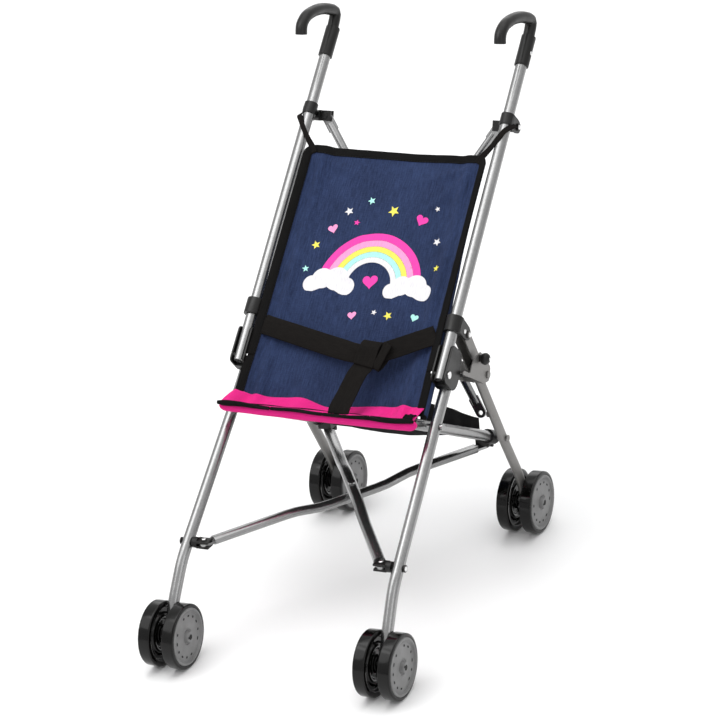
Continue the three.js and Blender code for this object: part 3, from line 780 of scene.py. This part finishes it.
# ---------- seat bottom ----------
FRONT = Vector((0, -96.5, 232.2))      # piping along the front edge
RAIL_START = Vector((0, -57.5, 211))   # the seat rails' line, from front to rear
RAIL_END = Vector((0, 96, 128))
RAIL_ALONG = (RAIL_END - RAIL_START).normalized()
PANEL_HALF = 108                       # half widths of the pink panel and of the hem under it
HEM_HALF = 111
HEM_END = 9.0
HEM_SIDES = 20


def seat_panel(x, w):
    """Pink top of the seat, w from the front piping (0) to the seam with the back (1)."""
    t = x / PANEL_HALF * half_girth(-42)
    back = back_surface(t, low_edge(t)) + SEAT_V * 0.4
    bow = 2.0 + 1.5 * (x / PANEL_HALF) ** 2
    front = Vector((x, FRONT.y + bow, FRONT.z - 0.6 + 1.0 * ripple(x, 0, 22, 5)))
    p = front.lerp(back, w)
    arch = max(0.0, math.sin(math.pi * w))
    p.z -= arch * (4.5 + 2.6 * ripple(x, w * 8, 16, 2.2)) * (1 - smoothstep(88, 106, abs(x)))
    p.z += 1.2 * math.sin(x / 6.0 + 3 * ripple(x, 0, 40, 6)) * arch ** 0.5
    return p


soft.append(grid("seat_bottom_panel", seat_panel, spread(-PANEL_HALF, PANEL_HALF, 120), spread(0, 1, 22),
                 PINK, "rail_right", "pink_cloth", uv=lambda x, w: (x * MM + 0.5, w * 0.036), thickness=0.9,
                 replaces=("seat_bottom",)))


def hem_ring(x):
    """Section of the front hem: the pink fold under the piping, closed and rounded at its ends."""
    into_end = max(0.0, abs(x) - (HEM_HALF - HEM_END)) / HEM_END
    k = max(0.05, math.sqrt(max(0.0, 1 - into_end ** 2)))
    droop = 1.3 * math.cos(x / HEM_HALF * math.pi / 2) + 0.8 * ripple(x, 3, 26, 8)
    drop = (9.6 + 1.6 * smoothstep(-110, 20, x)) * k
    middle = Vector((x, FRONT.y + 5.5, FRONT.z - 6.2 + (1 - k)))
    ring = []
    for i in range(HEM_SIDES):
        a = 2 * math.pi * i / HEM_SIDES
        bulge = 4.6 * k * (1 + 0.12 * ripple(x, i, 14, 1.4))
        z = drop / 2 * math.sin(a) - (droop * 0.6 if math.sin(a) < 0 else 0)
        ring.append((middle + Vector((0, -bulge * math.cos(a), z))) * MM)
    return ring


hem_xs = spread(-110.5, -102, 8) + spread(-101, 101, 70) + spread(102, 110.5, 8)
hem_uv = [(i * 0.0016, x * MM + 0.5) for x in hem_xs for i in range(HEM_SIDES)]
soft.append(loft("seat_front_hem", [hem_ring(x) for x in hem_xs], PINK, "rail_right", "pink_cloth",
                 uvs=hem_uv))

piping = []
for x in spread(-110, 109, 26):
    forward = 1.6 * (abs(x) / 110) ** 3 + 0.8 * ripple(x, 0, 30, 2)
    rise = 1.3 * ripple(x, 4, 34, 5) - 1.3 * math.exp(-(((x - 18) / 30) ** 2))
    piping.append(FRONT + Vector((x, forward, rise)))
radii = [2.0] + [3.0, 2.9, 2.6, 2.3, 2.1, 2.0] + [1.8] * 11 + [2.0, 2.2, 2.4, 2.6, 2.8, 2.8, 2.6] + [1.6]
soft.append(tube("seat_front_piping", piping, radii, BINDING, "rail_right", "black_webbing", per=4))

# edge tape under the hem
under = [p + Vector((0, 6.5, -11.2)) for p in piping[1:-1]]
soft.append(tube("seat_hem_tape", under, 1.0, BINDING, "rail_right", "black_webbing", per=4, sides=8))


def gather(x, w):
    """The bunched black cloth at the seat's right end."""
    a = w * math.pi * 1.05
    p = Vector((101 + x, -88 - 7 * math.cos(a), 230.5 + 5 * math.sin(a)))
    p.z += 1.6 * ripple(x * 3, w * 20, 9, 3)
    p.y += 1.2 * ripple(x * 3, w * 18, 8, 6)
    p.x += 1.2 * ripple(x, w * 20, 7, 2)
    return p


def side_web(label, sign):
    """Black side of the seat: stands on the rail and tapers towards the back leg."""

    def point(s, h):
        height = 3.2 + h * (7.5 + 12.5 * smoothstep(-20, 20, s) - 5.5 * smoothstep(60, 150, s))
        normal = Vector((0, -RAIL_ALONG.z, RAIL_ALONG.y))
        lean = 2.0 * ripple(s, h * 6, 20, 5 * sign) - 3.0 * h
        return RAIL_START + RAIL_ALONG * s + normal * height + Vector((sign * (94.5 + lean), 0, 0))

    return grid(f"seat_side_{label}", point, spread(6, 156, 62), spread(0, 1, 9), BLACK_CLOTH, "rail_right",
                "black_webbing", uv=lambda s, h: (h * 0.02, s * MM), thickness=0.9)


soft.append(side_web("left", -1))
soft.append(grid("seat_gather_right", gather, spread(-4, 6, 12), spread(0, 1, 26), BLACK_CLOTH, "rail_right",
                 "black_webbing", uv=lambda x, w: (x * MM, w * 0.03), thickness=1.0))
soft.append(side_web("right", 1))


def sling(x, s):
    """Black cloth slung between the rails under the seat."""
    p = RAIL_START + RAIL_ALONG * s + Vector((x, 0, 0))
    k = 1 - (x / 95) ** 2
    p.z -= 11 * k * smoothstep(-12, 40, s) - 3.0
    p.z += 1.3 * ripple(x, s, 26, 4) * k + 0.8 * math.sin(s / 5.0 + 3 * ripple(x, s, 40, 2)) * k
    return p


soft.append(grid("seat_sling", sling, spread(-94.5, 94.5, 60), spread(-36, 150, 70), BLACK_CLOTH,
                 "rail_right", "black_webbing", thickness=0.9))

# each soft piece gets a mesh of its own
for piece in soft:
    fold_with(piece)


# ---------- wheels ----------
def turned(name, profile, centre, sign, material, body, slot, replaces=(), steps=96, extra=None,
           materials=None):
    """A closed profile of (radius, distance outwards) turned round an axis along X."""
    n = len(profile)
    verts, faces, mats = [], [], []
    for i in range(steps):
        a = 2 * math.pi * i / steps
        for r, h in profile:
            verts.append(centre + Vector((sign * h, r * math.cos(a), r * math.sin(a))) * MM)
    for i in range(steps):
        for j in range(n):
            a, b = i * n + j, i * n + (j + 1) % n
            c, d = ((i + 1) % steps) * n + (j + 1) % n, ((i + 1) % steps) * n + j
            faces.append((a, b, c, d) if sign > 0 else (d, c, b, a))
            mats.append(0)
    if extra:
        extra(verts, faces, mats)
    obj = new_piece(name, verts, faces, material, body, slot, replaces=replaces, materials=materials,
                    face_mats=mats)
    smooth_shading(obj, 30)
    return obj


def rounded(points):
    """Softens each corner (r, h, radius) of a profile."""
    out = []
    n = len(points)
    for i, (r, h, k) in enumerate(points):
        if not k:
            out.append((r, h))
            continue
        here = Vector((r, h))
        before = Vector(points[i - 1][:2])
        after = Vector(points[(i + 1) % n][:2])
        a = here + (before - here).normalized() * min(k, (before - here).length * 0.45)
        b = here + (after - here).normalized() * min(k, (after - here).length * 0.45)
        for t in (0, 0.33, 0.67, 1):
            q = a * (1 - t) ** 2 + here * 2 * t * (1 - t) + b * t * t
            out.append((q.x, q.y))
    return out


TYRE_OUTER = 33.5
RIM = 29.5
AXLE_HOLE = 2.8
DISC_OFFSET = 13.3     # each disc's middle, from the middle of the double wheel
TYRE_PROFILE = rounded([
    (AXLE_HOLE, -6.8, 0), (8.4, -6.8, 0.8), (9.0, -3.0, 1.0), (14.0, -2.4, 1.0), (16.5, -5.6, 1.6),
    (20.0, -5.6, 1.6), (22.0, -2.2, 1.2), (26.5, -2.4, 1.0), (27.6, -6.4, 0.6), (30.6, -6.8, 0.5),
    (TYRE_OUTER, -6.2, 1.4), (TYRE_OUTER, 6.2, 1.4), (31.0, 6.8, 0.6), (29.6, 6.6, 0.5), (29.4, 1.0, 0.3),
    (AXLE_HOLE, 1.0, 0)])
CAP_PROFILE = rounded([
    (AXLE_HOLE, 1.3, 0), (RIM, 1.3, 0), (RIM, 6.9, 0.5), (28.6, 7.5, 0.5), (27.2, 7.3, 0.4), (26.2, 5.4, 0.4),
    (25.2, 5.0, 0.3), (24.2, 5.5, 0.4), (8.4, 6.1, 0.5), (7.7, 5.2, 0.3), (6.7, 5.2, 0.3), (6.0, 7.4, 0.4),
    (5.4, 9.2, 0.5), (0.2, 9.3, 0), (0.2, 8.9, 0), (AXLE_HOLE, 8.9, 0)])
CAP_SLOTS = 14
PLAIN_PLACES = (3, 10)     # places in the ring that have no slot


def cap_hole_shades(centre, sign, seed):
    """Painted shade in the cap: flat near-black patches over a ring of small slots and the hub's recess,
    standing in for the shade inside these openings.
    """

    def build(verts, faces, mats):
        # each patch is a flat polygon of painted shade just above the cap's face
        def hole_shade(points, h):
            base = len(verts)
            verts.extend(centre + Vector((sign * h, y, z)) * MM for y, z in points)
            ring = tuple(range(base, base + len(points)))
            faces.append(ring if sign > 0 else tuple(reversed(ring)))
            mats.append(1)

        for k in range(CAP_SLOTS):
            if k in PLAIN_PLACES:
                continue
            a = 2 * math.pi * k / CAP_SLOTS + seed
            long, wide = (2.0, 1.1) if k % 2 else (1.5, 1.3)
            points = []
            for i in range(14):
                b = 2 * math.pi * i / 14
                r, q = 21.2 + wide * math.cos(b), long * math.sin(b) / 21.5
                points.append((r * math.cos(a + q), r * math.sin(a + q)))
            hole_shade(points, 5.85)
        hole_shade(arc(0, 0, 2.9, 0, 340, 18), 9.4)
        c, s = math.cos(seed + 0.6), math.sin(seed + 0.6)
        slot = [(-1.2, 0), (-1.2, 4.7), (1.2, 4.7), (1.2, 0)]
        hole_shade([(y * c - z * s, y * s + z * c) for y, z in slot], 9.42)

    return build


for end in ("front", "rear"):
    for label in ("right", "left"):
        name = f"wheel_{end}_{label}"
        low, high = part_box(f"{name}_axle")
        centre = (low + high) / 2
        body = f"{end}_wheel_{label}"
        outside = 1 if label == "right" else -1
        for place, sign in (("outer", outside), ("inner", -outside)):
            mid = centre + Vector((sign * DISC_OFFSET * MM, 0, 0))
            seed = {"front": 0.3, "rear": 1.1}[end] + (0.5 if place == "inner" else 0.0)
            turned(f"{name}_tyre_{place}_fine", TYRE_PROFILE, mid, sign, TYRE, body, "tyre",
                   replaces=(f"{name}_tyre_{place}",))
            turned(f"{name}_cap_{place}_fine", CAP_PROFILE, mid, sign, CAP, body, "hubcap",
                   replaces=(f"{name}_cap_{place}",), extra=cap_hole_shades(mid, sign, seed), materials=[CAP, HOLE_SHADE])


# ---------- small rivets ----------
def dome(name, centre, axis, radius, height, body, material=ZINC):
    """A rivet head: a flattened dome on the plane through `centre` (mm), facing along `axis`."""
    axis = Vector(axis).normalized()
    side = axis.orthogonal().normalized()
    other = axis.cross(side)
    turns = [2 * math.pi * i / 20 for i in range(20)]
    rings = []
    for r, h in ((1.0, -0.25), (1.0, 0.35), (0.93, 0.62), (0.78, 0.82), (0.5, 0.96), (0.12, 1.0)):
        middle = Vector(centre) + axis * height * h
        rings.append([(middle + (side * math.cos(a) + other * math.sin(a)) * radius * r) * MM for a in turns])
    return loft(name, rings, material, body, "zinc_pin")


def on_handle(along, off=0.0):
    """A point beside the upper tube's axis, in the side frame's plane."""
    return KNEE + SEAT_U * along - SEAT_V * off


for label, sign in (("left", -1), ("right", 1)):
    outwards = Vector((sign, 0, 0))
    dome(f"grip_button_{label}", on_handle(363, 0) + outwards * 120.6, SEAT_V * 0.25 + outwards, 2.1, 1.3,
         f"handle_{label}")
    for node, body, y, z, radius in (
            (f"brace_knuckle_{label}", f"knuckle_{label}", *on_handle(284.8, 14).yz, 2.6),
            (f"front_clip_{label}", f"clip_{label}", -175.0, 112.3, 2.6),
            (f"rear_link_{label}", f"rear_{label}", 20.0, 278.5, 2.8)):
        ends = [abs(corner.x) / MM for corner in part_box(node)]
        dome(f"{node}_rivet", Vector((sign * (max(ends) - 0.2), y, z)), outwards, radius, 1.1, body)
    dome(f"clip_rivet_{label}", Vector((sign * 99, -175.0, 116.9)), (0, 0, 1), 2.3, 1.0, f"clip_{label}")
    dome(f"clamp_rivet_{label}", on_handle(52, 9.5) + outwards * 122.4, outwards, 2.4, 1.2, f"handle_{label}")
    dome(f"knob_rivet_{label}", Vector((sign * 136.6, 34.5, 246.5)), outwards, 1.7, 0.9, f"lever_{label}")


# ---------- floor, light ----------
FLOOR_HALF = 12


def make_floor():
    """A wide pale floor at z = 0."""
    mesh = bpy.data.meshes.new("floor")
    corners = [(x * FLOOR_HALF, y * FLOOR_HALF, 0) for x, y in ((-1, -1), (1, -1), (1, 1), (-1, 1))]
    mesh.from_pydata(corners, [], [(0, 1, 2, 3)])
    floor = bpy.data.objects.new("floor", mesh)
    bpy.context.scene.collection.objects.link(floor)
    ground = Nodes("floor")
    patch = ground.noise(ground.coords(), 3, 2)
    ground.set(Base_Color=ground.ramp(patch, [(0.3, grey(0.93)), (0.7, grey(0.95))]), Roughness=0.6)
    ground.set(Specular_IOR_Level=0.2)
    mesh.materials.append(ground.mat)
    floor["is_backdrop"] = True


def make_world():
    """Soft light from all round, a little brighter from above."""
    world = bpy.data.worlds.new("studio")
    bpy.context.scene.world = world
    world.use_nodes = True
    tree = world.node_tree
    direction = tree.nodes.new("ShaderNodeTexCoord")
    split = tree.nodes.new("ShaderNodeSeparateXYZ")
    tree.links.new(direction.outputs["Generated"], split.inputs[0])
    sky = tree.nodes.new("ShaderNodeValToRGB")
    tree.links.new(split.outputs[2], sky.inputs[0])
    stops = ((0.0, (0.79, 0.79, 0.80, 1)), (0.75, (1.0, 1.0, 1.0, 1)))
    for element, (at, colour) in zip(sky.color_ramp.elements, stops):
        element.position = at
        element.color = colour
    tree.links.new(sky.outputs[0], tree.nodes["Background"].inputs[0])
    tree.nodes["Background"].inputs[1].default_value = 0.86


def softbox(name, location, size, power, aim=(0, 0, 0.25)):
    """A rectangular area light facing `aim`."""
    data = bpy.data.lights.new(name, "AREA")
    data.shape = "RECTANGLE"
    data.size, data.size_y = size
    data.energy = power
    light = bpy.data.objects.new(name, data)
    bpy.context.scene.collection.objects.link(light)
    light.location = location
    light.rotation_euler = (Vector(aim) - Vector(location)).to_track_quat("-Z", "Y").to_euler()


make_floor()
make_world()
softbox("key", (-1.4, -1.5, 2.3), (1.8, 1.8), 18)
softbox("fill", (2.2, -1.4, 1.3), (1.2, 1.8), 6)
softbox("top", (0.2, 0.4, 2.6), (2.6, 2.6), 25)
softbox("near", (-0.25, -0.35, 1.25), (0.7, 0.7), 3.2, (0, 0.1, 0.5))
softbox("back", (-0.8, 2.4, 1.4), (1.8, 1.2), 8)
bpy.context.scene.view_settings.view_transform = "Standard"

low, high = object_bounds()
